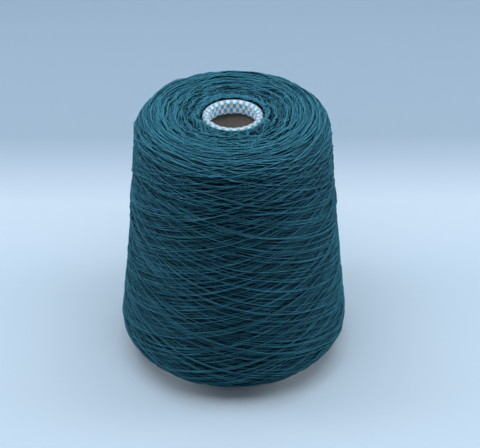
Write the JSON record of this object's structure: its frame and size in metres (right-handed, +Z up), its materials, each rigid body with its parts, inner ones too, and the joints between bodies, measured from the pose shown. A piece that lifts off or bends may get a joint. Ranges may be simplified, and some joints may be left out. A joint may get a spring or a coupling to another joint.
{
  "type": "yarn cone",
  "caption": "Cone of fine cross-wound teal yarn on a tapered paper winding cone, with a checked paper rim round the open nose.",
  "frame": {"origin": "centre of the ring that the winding cone's base stands on", "axes": "+Z up along the cone's axis, from the wide base to the narrow nose; the solids are round about it, and the picture looks along +Y"},
  "size_m": [0.1459, 0.146, 0.172],
  "materials": {
    "paperboard": "raw, matt",
    "cover_paper": "smooth printed paper, small light blue and cream checks",
    "yarn": "matt spun yarn"
  },
  "bodies": {
    "root": {"board_cone": "paperboard", "printed_cover": "cover_paper", "yarn_package": "yarn", "transfer_tail": "yarn"}
  },
  "joints": []
}
